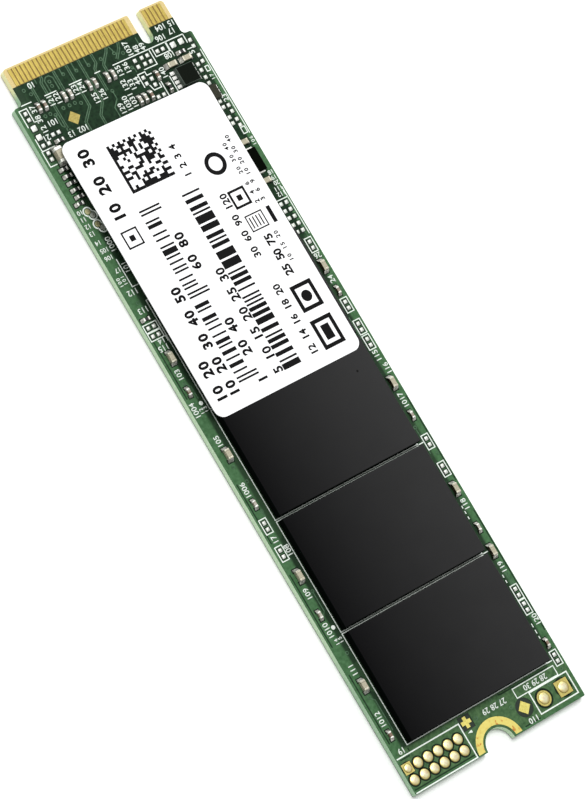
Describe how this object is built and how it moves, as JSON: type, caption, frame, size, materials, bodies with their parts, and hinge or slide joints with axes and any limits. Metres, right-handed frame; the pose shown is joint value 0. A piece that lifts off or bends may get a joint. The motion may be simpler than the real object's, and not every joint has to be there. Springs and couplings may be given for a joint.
{
  "type": "solid-state drive card",
  "caption": "Solid-state drive on a slim card, with a keyed gold edge connector, flash packages in a row, a white label, small chip parts and a half-round mounting notch.",
  "frame": {"origin": "middle of the card's back face, at its level", "axes": "+Y along the card towards the edge connector, +X across it, +Z out of the component face"},
  "size_m": [0.022, 0.08, 0.002],
  "materials": {
    "laminate": "satin",
    "solder_mask": "gloss",
    "gold_plate": "polished",
    "mould_compound": "satin",
    "solder": "satin",
    "ferrite": "matte",
    "capacitor_ceramic": "satin",
    "resistor_ceramic": "satin",
    "crystal_lid": "satin",
    "crystal_base": "matte",
    "white_print": "matte",
    "label_paper": "satin"
  },
  "bodies": {
    "root": {"circuit_board": "laminate", "solder_mask_top": "solder_mask", "solder_mask_bottom": "solder_mask", "edge_contacts_top": "gold_plate", "edge_contacts_bottom": "gold_plate", "mounting_ring_top": "gold_plate", "mounting_ring_bottom": "gold_plate", "nand_balls": "solder", "controller_chip": "mould_compound", "controller_balls": "solder", "clock_crystal": "crystal_lid", "clock_crystal_base": "crystal_base", "power_chip": "mould_compound", "power_chip_leads": "solder", "power_inductor": "ferrite", "power_inductor_terminals": "solder", "load_switch": "mould_compound", "load_switch_leads": "solder", "coupling_capacitors": "capacitor_ceramic", "coupling_capacitor_terminals": "solder", "filter_capacitors": "capacitor_ceramic", "filter_capacitor_terminals": "solder", "bulk_capacitor": "capacitor_ceramic", "bulk_capacitor_terminals": "solder", "bypass_capacitors": "capacitor_ceramic", "bypass_capacitor_terminals": "solder", "chip_resistors": "resistor_ceramic", "chip_resistor_terminals": "solder", "solder_fillets": "solder", "empty_pads": "solder", "debug_port": "solder", "switch_pads": "solder", "fiducials": "gold_plate", "test_points": "gold_plate", "silkscreen_outlines": "white_print", "label": "label_paper", "nand_flash_1": "mould_compound", "nand_flash_2": "mould_compound", "nand_flash_3": "mould_compound", "nand_flash_4": "mould_compound"}
  },
  "joints": []
}
